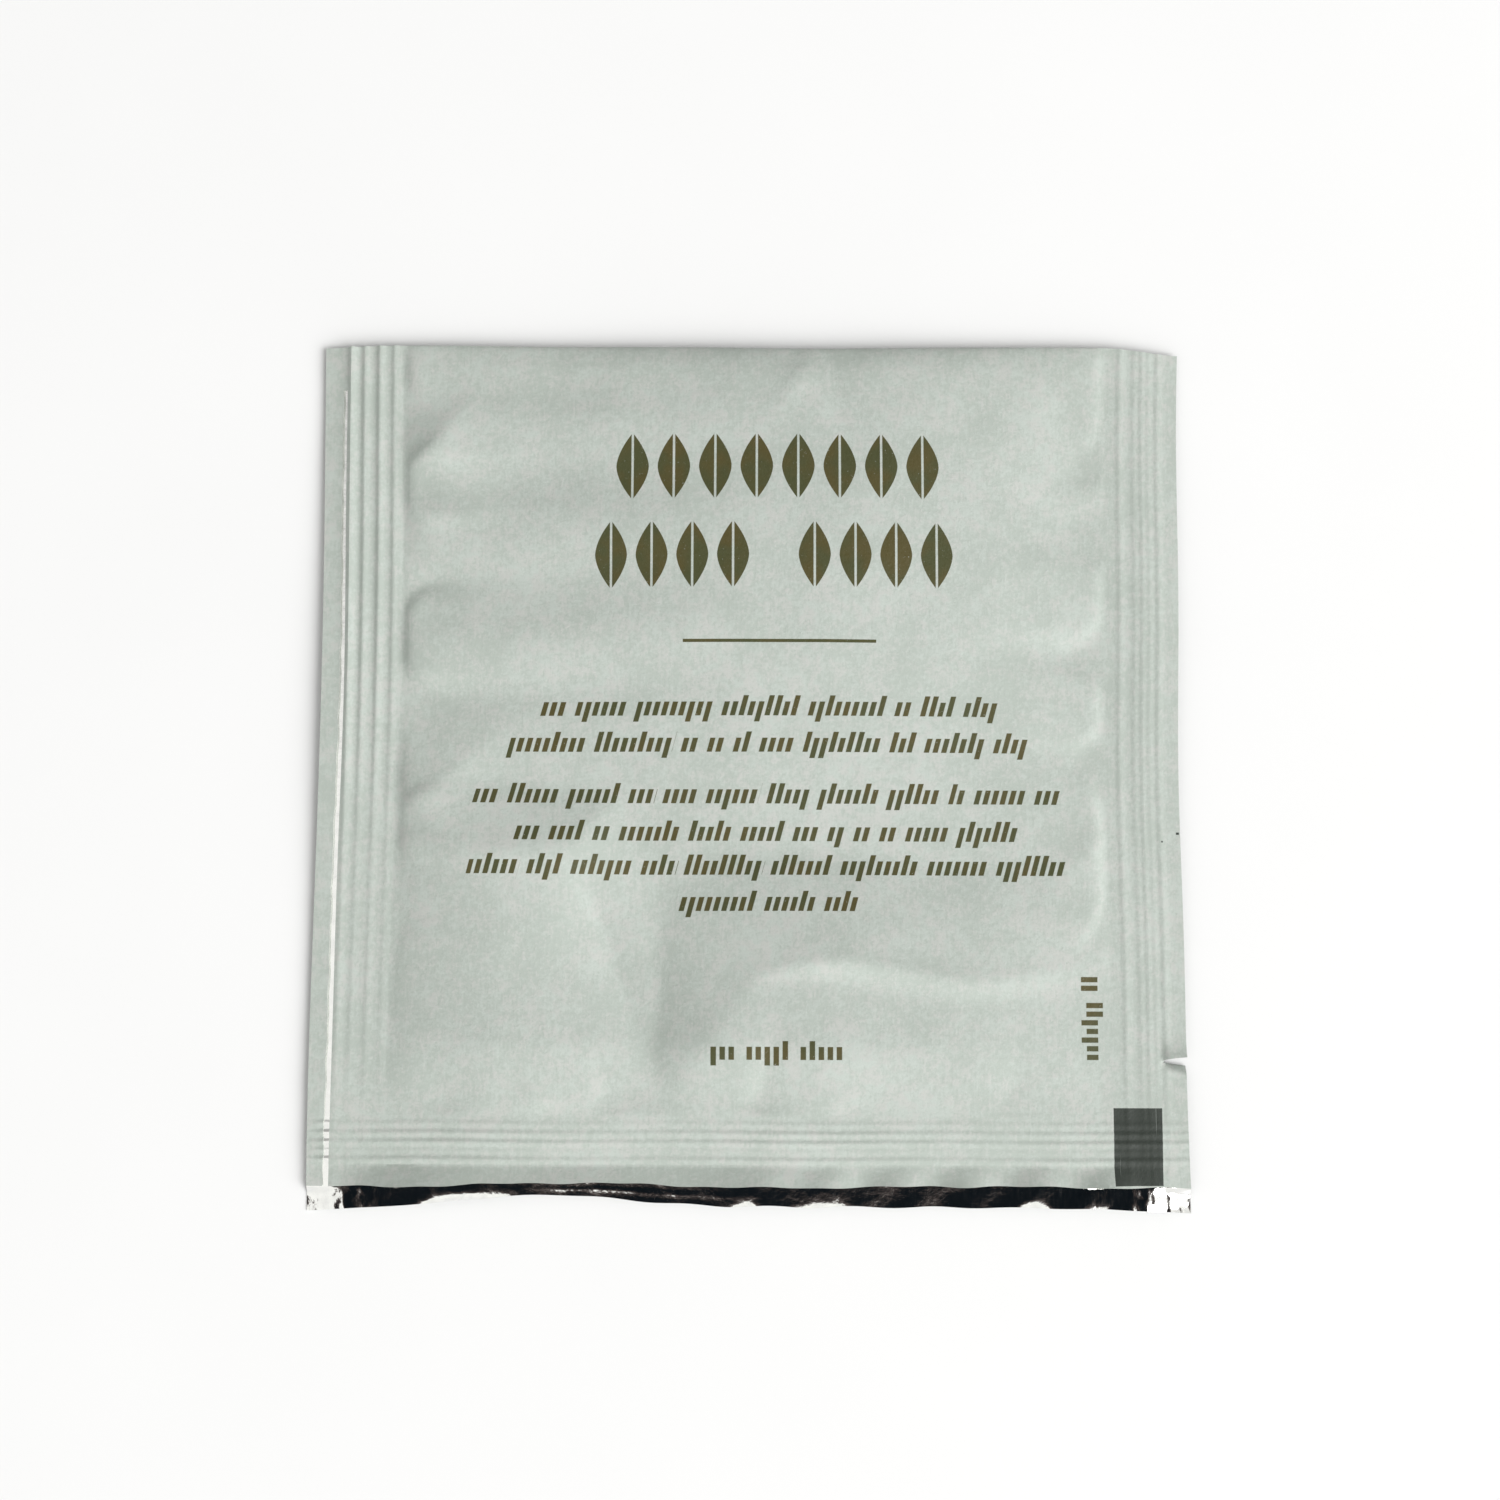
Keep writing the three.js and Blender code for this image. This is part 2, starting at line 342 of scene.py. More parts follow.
def front_loft(x, y):
    """Height of the front above the seals."""
    from_left = x - left_edge(y) - LEFT_SEAL
    from_right = right_edge(y) - x - RIGHT_SEAL
    from_bottom = y + HALF_HEIGHT - BOTTOM_SEAL
    from_top = top_edge(x) - y
    smooth = bag_shape(x, y, from_left) * rise(from_right, 25, 1.5)
    smooth = smooth * mix(0.5, 1, rise(from_top, 18, 1.8)) * smoothstep(from_bottom, -1.2, 6.5)
    smooth = smooth + swells(x, y, from_left)
    upright = walls(from_left, y, LEFT_WALLS) + walls(from_right, y, RIGHT_WALLS)
    folds = sum(pleat(x, y, **one) for one in FRONT_PLEATS)
    folds = folds + pleat(x, y, **LONG_CREASE)
    near = smoothstep(from_left, -0.2, 1.2) * smoothstep(from_right, -0.2, 1.2)
    near = near * smoothstep(from_bottom, -0.2, 1.4)
    small = upright + folds + crumpled(x, y, COCKLE)
    puffed = np.clip(smooth + small * near, 0, None)
    return puffed * round_over(from_top)


# ---------------------------------------------------------------- relief of the seals and the back

SLIT_STEP = 0.26  # drop of the strip beside the slit, as a share of the slit's width
FREE_EDGE = {"left": 2.2, "right": 2.6}  # the side seals droop within this of their edges

# Waves of the seals: height of the sides, the foot, the hammock above it and the corners
SEAL_WAVES = {"sides": 0.16, "foot": 0.14, "hammock": 0.7, "corners": -0.1}

# The tear notch's lips: rise of the upper one and its reach, drop of the lower one, and the
# lower one's reach at the tip and at the edge
NOTCH_LIPS = {"rise": 0.45, "reach": 0.8, "drop": 0.78, "at_tip": 0.4, "at_edge": 1.0}

# Crumpling of the bare lip's corners: height, wavelength and seed
CORNER_CRUMPLE = ((0.045, 0.9, 6), (0.02, 0.42, 8))
LIP_RIPPLE = ((0.05, 2.6, 5),)  # and of the lip between them

# Slope of the bare lip's corners toward the side edges, and how far in it starts
CORNER_TILTS = {"left": (0.14, 3.2), "right": (0.17, 3.5)}
MARGIN_LIFT = 1.02  # about how far the front's loose margin stands off the back at its cut


def ribs(distance, places, heights, toward):
    """Rounded ridges with a steep and a gentle flank, side by side."""
    total = 0
    for place, height in zip(places, heights):
        t = (distance - place) * toward
        total = total + height * bell(t, np.where(t < 0, RIB_STEEP, RIB_GENTLE))
    return total


def edge_droop(x, y):
    """The side seals bend down toward their free edges, and step down across the slit."""
    inset = x - left_edge(y)
    width = slit_width(y)
    step = 1 - smoothstep(inset, SLIT["inset"] - 1.1 * width, SLIT["inset"] + 0.1 * width)
    pressed = sum(bell(y + HALF_HEIGHT - place, 0.16) for place in BOTTOM_RIBS["places"])
    pressed = np.clip(pressed, 0, 1) * bell(inset - SLIT["inset"] + SLIT["wide"] / 2, 0.7)
    step = step * smoothstep(-y, -36, -32) * (1 - 0.95 * pressed)
    left_slope = mix(0.1, 0.04, smoothstep(-y, -24, 2))
    left = left_slope * np.clip(FREE_EDGE["left"] - inset, 0, None)
    right = 0.06 * np.clip(FREE_EDGE["right"] - (right_edge(y) - x), 0, None)
    right = right * smoothstep(y, -12, 6)
    return -(SLIT_STEP * width * step + left + right)


def seal_press(x, y):
    """Ribs of the sealing jaws, pressed into both layers."""
    inset_left, inset_right = x - left_edge(y), right_edge(y) - x
    left = ribs(inset_left, **LEFT_RIBS) * mix(0.12, 0.6, smoothstep(y, -30, -20))
    left = left * mix(0.9, 3.2, smoothstep(y, -12, 16))
    right = ribs(inset_right, **RIGHT_RIBS) * mix(0.3, 1, smoothstep(y, -32, -22))
    inboard = smoothstep(inset_left, 1.0, 6.5) * mix(0.2, 1, smoothstep(inset_right, 2.5, 8.0))
    from_bottom = y + HALF_HEIGHT + 0.04 * np.sin(x * 0.3)
    slit = 0.9 * bell(inset_left - SLIT["inset"] + SLIT["wide"] / 2, 0.4)
    bottom = ribs(from_bottom, **BOTTOM_RIBS) * mix(0.5, 1, inboard + slit)
    bottom = bottom * (0.85 + 0.25 * np.sin(x * 0.21 + 0.5))
    return left + right + bottom + edge_droop(x, y)


def seal_wave(x, y):
    """Slow waves of the seals above and below their mean height."""
    out, up = np.abs(x), y + HALF_HEIGHT
    sides = np.sin(y * 0.115 + 0.6) * smoothstep(out, 28, HALF_WIDTH)
    foot = np.sin(x * 0.24 + 1.1) * (1 - smoothstep(up, 0, 11))
    hammock = smoothstep(up, 0, 8) * (1 - smoothstep(up, 9, 22)) * (1 - smoothstep(out, 18, 33))
    corners = smoothstep(out, 26, HALF_WIDTH) * smoothstep(np.abs(y), 26, HALF_HEIGHT)
    waves = {"sides": sides, "foot": foot, "hammock": hammock, "corners": corners}
    return sum(SEAL_WAVES[name] * wave for name, wave in waves.items())


def notch_pucker(x, y):
    """The edge is pulled up above the tear notch and pushed down below it."""
    away = y - NOTCH["y"]
    depth_in = x - right_edge(y) + NOTCH["depth"]
    near = smoothstep(depth_in, -0.2, 0.8)
    above = np.exp(-np.clip(away - NOTCH["half_mouth"], 0, None) / NOTCH_LIPS["reach"])
    open_share = np.clip(depth_in / NOTCH["depth"], 0, 1)
    flap = mix(NOTCH_LIPS["at_tip"], NOTCH_LIPS["at_edge"], open_share)
    below = np.clip(1 - (-away - 0.1) / flap, 0, 1)
    return near * np.where(away > 0, NOTCH_LIPS["rise"] * above, -NOTCH_LIPS["drop"] * below)


def back_height(x, y):
    """Underside of the back layer above the table."""
    dx = np.clip(np.abs(x) - 22, 0, None)
    dy = np.clip(np.abs(y - 6) - 16, 0, None)
    lifted = smoothstep(np.hypot(dx, dy), 0, 12)
    tucks = 0.1 * np.sin(y * 0.8 + 0.5) * bell(np.abs(x) - 29, 3.2) * smoothstep(np.abs(x), 22, 30)
    raised = SEAL_LIFT + seal_press(x, y) + seal_wave(x, y) + notch_pucker(x, y) + tucks
    over = round_over(top_edge(x) - y)
    rounding = 0.3 * (1 - over) * (1 - smoothstep(np.abs(x), 29, 32))
    return lifted * raised + rounding


def lip_crinkle(x, y):
    """The bare lip droops in places toward its cut edge, and is crumpled at the corners."""
    out = 1 - np.clip((y - bottom_edge(x)) / (front_cut(x) - bottom_edge(x)), 0, 1)
    inset_left, inset_right = x - left_edge(y), right_edge(y) - x
    droop = sum(drop * bell(x - place, half) for place, half, drop in LIP_DROOPS)
    crease = 0.035 * bell(out - 0.5, 0.09) * bell(x + 9, 8)
    waves = 0.05 * np.sin(x * 1.35 + 2 * out) * smoothstep(x, 5, 12)
    ripples = crumpled(x + 0.8 * y, y * 0.4, LIP_RIPPLE)
    corners = 1 - smoothstep(np.minimum(inset_left, inset_right - 0.6), 3.2, 6.6)
    crumple = crumpled(x, y, CORNER_CRUMPLE)
    tilt = 0
    for side, inset in (("left", inset_left), ("right", inset_right)):
        slope, start = CORNER_TILTS[side]
        tilt = tilt + slope * np.clip(start - inset, 0, None)
    smooth = out * (waves + ripples * (1 - corners)) - droop * out**4.4 + crease
    return smooth + smoothstep(out, 0, 0.3) * (crumple * corners - tilt)


def margin_lift(x, y):
    """How far the front's loose margin stands off the back layer, below the last rib."""
    loose = np.clip((POCKET_ROOT - y - HALF_HEIGHT) / (POCKET_ROOT - LIP), 0, 1.2)
    even = 0.95 + 0.12 * np.sin(x * 0.4 + 1)
    patchy = 0.62 + 0.34 * np.sin(x * 1.05 + 1.2)
    waves = mix(even, patchy, smoothstep(x, -2, 9))
    inboard = smoothstep(HALF_WIDTH - np.abs(x), 1.0, 8)
    return 0.02 * loose + MARGIN_LIFT * loose * waves * inboard


# ---------------------------------------------------------------- rows and columns of the mesh


def evenly(low, high, step):
    return list(np.linspace(low, high, max(2, round((high - low) / step) + 1)))


def slit_wobble(y, inset):
    """The slit's waviness, which dies away in the columns beside it."""
    wobble = slit_right(y) - left_edge(y) - SLIT["inset"]
    return wobble * bell(inset - SLIT["inset"], 0.4)


def panel_left(y):
    return left_edge(y) + LEFT_SEAL + FINE_STRIP


def panel_right(y):
    return right_edge(y) - RIGHT_SEAL - FINE_STRIP


def column_lines():
    """Each column as a function from Y to X, from the left edge to the right."""
    strip = [0, 0.25, 0.5, 0.75, 1]
    lines = [
        lambda y, s=share: mix(left_edge(y), slit_right(y) - slit_width(y), s) for share in strip
    ]
    lines.append(slit_right)
    for inset in evenly(SLIT["inset"] + 0.09, LEFT_SEAL + FINE_STRIP, SEAL_STEP):
        lines.append(lambda y, i=inset: left_edge(y) + i + slit_wobble(y, i))
    width = 2 * HALF_WIDTH - LEFT_SEAL - RIGHT_SEAL - 2 * FINE_STRIP
    for share in evenly(0, 1, PANEL_STEP / width)[1:-1]:
        lines.append(lambda y, s=share: mix(panel_left(y), panel_right(y), s))
    for inset in reversed(evenly(0, RIGHT_SEAL + FINE_STRIP, SEAL_STEP * 1.15)):
        lines.append(lambda y, i=inset: right_edge(y) - i)
    return lines


SLIT_COLUMN = 4  # the cells between this column and the next are the slit


def notch_opening(x):
    depth_in = (x - right_edge(NOTCH["y"]) + NOTCH["depth"]) / NOTCH["depth"]
    return mix(NOTCH["half_tip"], NOTCH["half_mouth"], np.clip(depth_in, 0, 1) ** 0.55)


def level_rows(levels):
    return [lambda x, v=level: np.full_like(x, v) for level in levels]


# Rows across the bare lip, as shares of its width, and across the fold, by distance from it
LIP_ROWS = (0, 0.08, 0.18, 0.3, 0.42, 0.55, 0.68, 0.8, 0.92)
FOLD_ROWS = (2.3, 1.95, 1.6, 1.28, 1.0, 0.75, 0.54, 0.37, 0.23, 0.13, 0.06, 0.02, 0)


def row_lines():
    """Each row as a function from X to Y, from the bottom edge to the fold, and named rows."""
    lines = [lambda x, s=share: mix(bottom_edge(x), front_cut(x), s) for share in LIP_ROWS]
    cut = len(lines)
    root_y = POCKET_ROOT - HALF_HEIGHT
    for share in evenly(0, 1, 0.14):
        lines.append(lambda x, s=share: mix(front_cut(x), np.full_like(x, root_y), s))
    root = len(lines) - 1
    seal_top = BOTTOM_SEAL + FINE_STRIP - HALF_HEIGHT
    low_near, low = NOTCH["y"] - 2.4, NOTCH["y"] - 0.45
    high, high_near = NOTCH["y"] + 0.45, NOTCH["y"] + 2.4
    lines += level_rows(evenly(root_y, seal_top, SEAL_STEP)[1:])
    lines += level_rows(evenly(seal_top, low_near, PANEL_STEP)[1:])
    lines += level_rows(evenly(low_near, low, NOTCH_STEP)[1:])
    lines.append(lambda x: NOTCH["y"] - notch_opening(x))
    notch = len(lines) - 1
    lines.append(lambda x: NOTCH["y"] + notch_opening(x))
    fold_start = HALF_HEIGHT - FOLD_REACH - 0.3
    lines += level_rows(evenly(high, high_near, NOTCH_STEP)[:-1])
    lines += level_rows(evenly(high_near, fold_start, PANEL_STEP))
    for distance in FOLD_ROWS:
        lines.append(lambda x, d=distance: top_edge(x) - d)
    return lines, {"cut": cut, "root": root, "notch": notch}


def crossings(rows, columns):
    """Where every row meets every column, as two grids."""
    y = np.zeros((len(rows), len(columns)))
    x = np.zeros_like(y)
    for _ in range(4):
        x = np.stack([column(y[:, j]) for j, column in enumerate(columns)], axis=1)
        y = np.stack([row(x[i]) for i, row in enumerate(rows)], axis=0)
    return x, y


# ---------------------------------------------------------------- envelope mesh

# Levels of the sheets, from the back layer's paper up to the front layer's paper
BACK_PAPER, BACK_FOIL, FRONT_FOIL, FRONT_PAPER = range(4)

# Which of the three spaces between the levels are laminate, for each kind of cell
SOLID = {
    "out": (False, False, False),
    "bare": (True, False, False),
    "pocket": (True, False, True),
    "sealed": (True, True, True),
}

PRINTED, PLAIN, FOIL, EDGE = range(4)  # material slots


def cell_kinds(rows, columns, marks):
    kinds = np.full((rows - 1, columns - 1), "sealed", dtype=object)
    kinds[: marks["root"], :] = "pocket"
    kinds[: marks["cut"], :] = "bare"
    return kinds


def open_slit_and_notch(kinds, x, y, marks):
    below_top = y[:-1, SLIT_COLUMN] < SLIT["top"]
    kinds[below_top, SLIT_COLUMN] = "bare"
    tip = right_edge(NOTCH["y"]) - NOTCH["depth"]
    in_notch = x[marks["notch"], :-1] >= tip - 0.01
    kinds[marks["notch"], in_notch] = "out"


def sheet_levels(x, y, marks):
    """Heights of the four levels on the grid, each a grid of Z."""
    bare = back_height(x, y)
    crinkled = bare + lip_crinkle(x, y)
    back_paper = np.clip(crinkled, 0, None)
    back_foil = back_paper + LAYER
    front_foil = back_foil + margin_lift(x, y)
    front_foil[marks["root"] :, :] = back_foil[marks["root"] :, :]
    seal_top = SEAL_LIFT + seal_press(x, y) + seal_wave(x, y) + notch_pucker(x, y) + 2 * LAYER
    panel = smoothstep(y + HALF_HEIGHT, POCKET_ROOT, POCKET_ROOT + 0.3)
    front_paper = mix(front_foil + LAYER, seal_top, panel) + front_loft(x, y)
    fold = (back_paper[-1] + front_paper[-1]) / 2
    levels = [back_paper, back_foil, front_foil, front_paper]
    for level in levels:
        level[-1] = fold
    return levels


class Builder:
    """Collects the envelope's vertices, faces, materials and map."""

    def __init__(self, x, y, levels, marks):
        self.x, self.y, self.levels = x, y, levels
        self.shape = x.shape
        self.marks = marks
        self.index = {}
        self.points, self.faces, self.materials, self.maps = [], [], [], []

    def vertex(self, level, i, j):
        top_row = i == self.shape[0] - 1
        if top_row:
            level = BACK_PAPER
        elif level == FRONT_FOIL and i >= self.marks["root"]:
            level = BACK_FOIL
        key = (level, i, j)
        if key not in self.index:
            self.index[key] = len(self.points)
            self.points.append((self.x[i, j], self.y[i, j], self.levels[level][i, j]))
        return self.index[key]

    def face(self, corners, material, places):
        kept, uvs = [], []
        for corner, place in zip(corners, places):
            vertex = self.vertex(*corner)
            if vertex not in kept:
                kept.append(vertex)
                uvs.append(place)
        if len(kept) > 2:
            self.faces.append(kept)
            self.materials.append(material)
            self.maps.append(uvs)

    def sheet(self, level, i, j, upward, material, area):
        ring = [(i, j), (i, j + 1), (i + 1, j + 1), (i + 1, j)]
        if not upward:
            ring.reverse()
        corners = [(level, a, b) for a, b in ring]
        self.face(corners, material, [area(self.x[a, b], self.y[a, b]) for a, b in ring])

    def wall(self, low, high, start, end, area):
        """A wall between two levels, facing to the right of the way from start to end."""
        corners = [(low, *start), (low, *end), (high, *end), (high, *start)]
        spots = [area(self.x[a, b], self.y[a, b], level - low) for level, a, b in corners]
        self.face(corners, EDGE, spots)


# Areas of the map: low and high U, and low and high V
FRONT_AREA = (0.004, 0.996, 0.315, 0.996)
BACK_AREA = (0.004, 0.996, 0.075, 0.305)
FOIL_AREA = (0.004, 0.996, 0.03, 0.068)
HIDDEN_AREA = (0.004, 0.996, 0.016, 0.026)
EDGE_AREA = (0.004, 0.996, 0.003, 0.012)


def flat_area(area):
    low_u, high_u, low_v, high_v = area

    def place(x, y):
        u = mix(low_u, high_u, (x + HALF_WIDTH) / HALF_WIDTH / 2)
        v = mix(low_v, high_v, (y + HALF_HEIGHT) / HALF_HEIGHT / 2)
        return (u, v)

    return place


def foil_area(x, y):
    """The foil shows only low down, so its lip takes most of its area."""
    low_u, high_u, low_v, high_v = FOIL_AREA
    up = (y + HALF_HEIGHT) / HALF_HEIGHT / 2
    v = 0.7 * min(up / 0.055, 1) + 0.3 * max(up - 0.055, 0) / 0.945
    return (mix(low_u, high_u, (x + HALF_WIDTH) / HALF_WIDTH / 2), mix(low_v, high_v, v))


def edge_area(x, y, step):
    low_u, high_u, low_v, high_v = EDGE_AREA
    around = ((x + HALF_WIDTH) + (y + HALF_HEIGHT)) / (HALF_WIDTH + HALF_HEIGHT) / 2
    return (mix(low_u, high_u, around), low_v if step == 0 else high_v)


def add_sheets(builder, kinds):
    front, back = flat_area(FRONT_AREA), flat_area(BACK_AREA)
    hidden = flat_area(HIDDEN_AREA)
    for (i, j), kind in np.ndenumerate(kinds):
        if kind == "out":
            continue
        builder.sheet(BACK_PAPER, i, j, False, PLAIN, back)
        if kind != "bare":
            builder.sheet(FRONT_PAPER, i, j, True, PRINTED, front)
        if kind != "sealed":
            builder.sheet(BACK_FOIL, i, j, True, FOIL, foil_area)
        if kind == "pocket":
            builder.sheet(FRONT_FOIL, i, j, False, FOIL, hidden)


def add_walls(builder, kinds):
    """A wall wherever laminate on one side of a grid edge meets air on the other."""
    rows, columns = kinds.shape
    padded = np.full((rows + 2, columns + 2), "out", dtype=object)
    padded[1:-1, 1:-1] = kinds
    for i in range(rows):
        for j in range(columns + 1):
            here, right = padded[i + 1, j], padded[i + 1, j + 1]
            add_wall(builder, SOLID[here], SOLID[right], (i, j), (i + 1, j))
    for i in range(rows + 1):
        for j in range(columns):
            below, above = padded[i, j + 1], padded[i + 1, j + 1]
            add_wall(builder, SOLID[below], SOLID[above], (i, j + 1), (i, j))


def add_wall(builder, left, right, start, end):
    """left and right are the spaces on each side of the way from start to end."""
    for space in range(3):
        if left[space] and not right[space]:
            builder.wall(space, space + 1, start, end, edge_area)
        if right[space] and not left[space]:
            builder.wall(space, space + 1, end, start, edge_area)


SHARP_ANGLE = math.radians(48)  # faces that meet at more than this, as at a cut, are shaded apart


def make_envelope():
    columns = column_lines()
    rows, marks = row_lines()
    x, y = crossings(rows, columns)
    kinds = cell_kinds(len(rows), len(columns), marks)
    open_slit_and_notch(kinds, x, y, marks)
    builder = Builder(x, y, sheet_levels(x, y, marks), marks)
    add_sheets(builder, kinds)
    add_walls(builder, kinds)

    mesh = bpy.data.meshes.new("envelope")
    points = [(px * MM, py * MM, pz * MM) for px, py, pz in builder.points]
    mesh.from_pydata(points, [], builder.faces)
    mesh.polygons.foreach_set("material_index", builder.materials)
    layer = mesh.uv_layers.new(name="OFBake")
    layer.data.foreach_set("uv", [c for face in builder.maps for place in face for c in place])
    mesh.polygons.foreach_set("use_smooth", [True] * len(builder.faces))
    mesh.update()
    mesh.set_sharp_from_angle(angle=SHARP_ANGLE)
    envelope = bpy.data.objects.new("envelope", mesh)
    bpy.context.scene.collection.objects.link(envelope)
    return envelope


# ---------------------------------------------------------------- material helpers

PAPER = (0.458, 0.5, 0.463)
PAPER_WARM = (0.476, 0.492, 0.463)
PAPER_SHADE = (0.398, 0.44, 0.4)
CORE = (0.72, 0.73, 0.7)  # the paper's own white, where it is cut
INK = (0.075, 0.062, 0.018)
INK_GREEN = (0.058, 0.062, 0.022)
MARK_INK = (0.033, 0.04, 0.033)
ALUMINIUM_DULL = (0.85, 0.85, 0.83)
ALUMINIUM = (0.93, 0.93, 0.905)
TABLE_DARK = (0.79, 0.79, 0.79)
TABLE_LIGHT = (0.81, 0.81, 0.81)

# Depth of the bump, and how strongly the paper shines
PAPER_BUMP = 0.035 * MM
FOIL_BUMP = 0.05 * MM
EDGE_BUMP = 0.01 * MM
PAPER_SHINE = 0.35


class Nodes:
    """Short calls that add nodes to one material and join them."""

    def __init__(self, name):
        self.material = bpy.data.materials.new(name)
        self.material.use_nodes = True
        self.tree = self.material.node_tree
        self.tree.nodes.clear()

    def add(self, kind, **settings):
        node = self.tree.nodes.new(kind)
        for key, value in settings.items():
            setattr(node, key, value)
        return node

    def set(self, socket, value):
        if isinstance(value, bpy.types.NodeSocket):
            self.tree.links.new(value, socket)
        elif isinstance(value, tuple) and len(value) == 3 and socket.type == "RGBA":
            socket.default_value = (*value, 1)
        else:
            socket.default_value = value

    def math(self, operation, a, b=0.0, clamp=False):
        node = self.add("ShaderNodeMath", operation=operation, use_clamp=clamp)
        self.set(node.inputs[0], a)
        self.set(node.inputs[1], b)
        return node.outputs[0]

    def mix(self, share, a, b):
        node = self.add("ShaderNodeMix", data_type="RGBA")
        self.set(node.inputs["Factor"], share)
        self.set(node.inputs[6], a)
        self.set(node.inputs[7], b)
        return node.outputs[2]

    def ramp(self, value, low, high, to_low=0.0, to_high=1.0):
        node = self.add("ShaderNodeMapRange", interpolation_type="SMOOTHSTEP")
        self.set(node.inputs["Value"], value)
        self.set(node.inputs["From Min"], low)
        self.set(node.inputs["From Max"], high)
        self.set(node.inputs["To Min"], to_low)
        self.set(node.inputs["To Max"], to_high)
        return node.outputs[0]

    def place(self, stretch=(1, 1, 1)):
        """Position on the sachet in millimetres, stretched along the axes."""
        where = self.add("ShaderNodeTexCoord").outputs["Object"]
        scale = self.add("ShaderNodeVectorMath", operation="MULTIPLY")
        self.set(scale.inputs[0], where)
        scale.inputs[1].default_value = [1 / MM * s for s in stretch]
        return scale.outputs[0]

    def noise(self, where, scale, detail=2.0, rough=0.5):
        node = self.add("ShaderNodeTexNoise")
        self.set(node.inputs["Vector"], where)
        for name, number in (("Scale", scale), ("Detail", detail), ("Roughness", rough)):
            self.set(node.inputs[name], number)
        return node.outputs["Fac"]

    def finish(self, color, roughness, height, distance, metallic=0.0, specular=0.5):
        bump = self.add("ShaderNodeBump")
        self.set(bump.inputs["Height"], height)
        bump.inputs["Strength"].default_value = 1.0
        bump.inputs["Distance"].default_value = distance
        shader = self.add("ShaderNodeBsdfPrincipled")
        self.set(shader.inputs["Base Color"], color)
        self.set(shader.inputs["Roughness"], roughness)
        shader.inputs["Metallic"].default_value = metallic
        shader.inputs["Specular IOR Level"].default_value = specular
        self.set(shader.inputs["Normal"], bump.outputs[0])
        output = self.add("ShaderNodeOutputMaterial")
        self.set(output.inputs["Surface"], shader.outputs[0])
        return self.material


# ---------------------------------------------------------------- print

# Lines of small print: X and Y of the middle, and width
BODY_LINES = (
    (1.6, 5.2, 39.3),
    (1.5, 2.1, 44.7),
    (1.4, -2.3, 50.4),
    (1.4, -5.5, 43.1),
    (1.4, -8.4, 51.2),
    (1.6, -11.5, 15.3),
)
BODY_STROKE = {"height": 1.2, "slant": 0.27, "pitch": 0.74}
LABEL_STROKE = {"slant": 0.0, "pitch": 0.76}

# Rows of leaves: X and Y of the middle, width, and number of places
LEAF_ROWS = (
    (2.3, 26.3, 28.7, 8),
    (2.0, 18.5, 31.6, 9),
)
LEAF_HALF_HEIGHT = 3.0
RULE = {"x": 2.5, "y": 11.0, "width": 16.6, "height": 0.28}
ADDRESS = {"x": 2.3, "y": -24.1, "width": 11.4, "height": 1.1}
SIDE_LABEL = {"x": 29.2, "y": -21.1, "width": 7.3, "height": 1.0}  # reads up the side
EYE_MARK = {"x": 33.0, "y": -31.9, "width": 4.15, "height": 6.5}  # for the packing machine's eye

# Two specks in the paper of the right seal
SPECKS = (
    {"x": 36.75, "y": -5.3, "width": 0.26, "height": 0.2},
    {"x": 35.4, "y": -6.0, "width": 0.14, "height": 0.14},
)


def within(nodes, value, half, soft=0.03):
    """1 where the value is nearer 0 than half."""
    size = nodes.math("ABSOLUTE", value)
    return nodes.ramp(size, half - soft, half + soft, 1.0, 0.0)


def rectangle(nodes, u, v, x, y, width, height):
    across = within(nodes, nodes.math("SUBTRACT", u, x), width / 2)
    up = within(nodes, nodes.math("SUBTRACT", v, y), height / 2)
    return nodes.math("MULTIPLY", across, up)


def word_runs(strokes, seed):
    """Where word-like runs of strokes start and end, as shares of a line."""
    chance = random.Random(seed)
    runs, place = [], 0
    while place < strokes:
        end = min(place + chance.choice((2, 3, 4, 5, 6, 7, 9)), strokes)
        if strokes - end < 3:
            end = strokes
        runs.append((place / strokes, end / strokes))
        place = end + 1
    return runs


def run_mask(nodes, share, runs):
    """1 inside the runs along a line, 0 between them."""
    node = nodes.add("ShaderNodeValToRGB")
    ramp = node.color_ramp
    ramp.interpolation = "CONSTANT"
    ramp.elements.remove(ramp.elements[1])
    ramp.elements[0].position = 0
    ramp.elements[0].color = (0, 0, 0, 1)
    for start, end in runs:
        ramp.elements.new(max(start, 0.0002)).color = (1, 1, 1, 1)
        ramp.elements.new(min(end, 0.9998)).color = (0, 0, 0, 1)
    nodes.set(node.inputs["Fac"], share)
    return node.outputs["Color"]


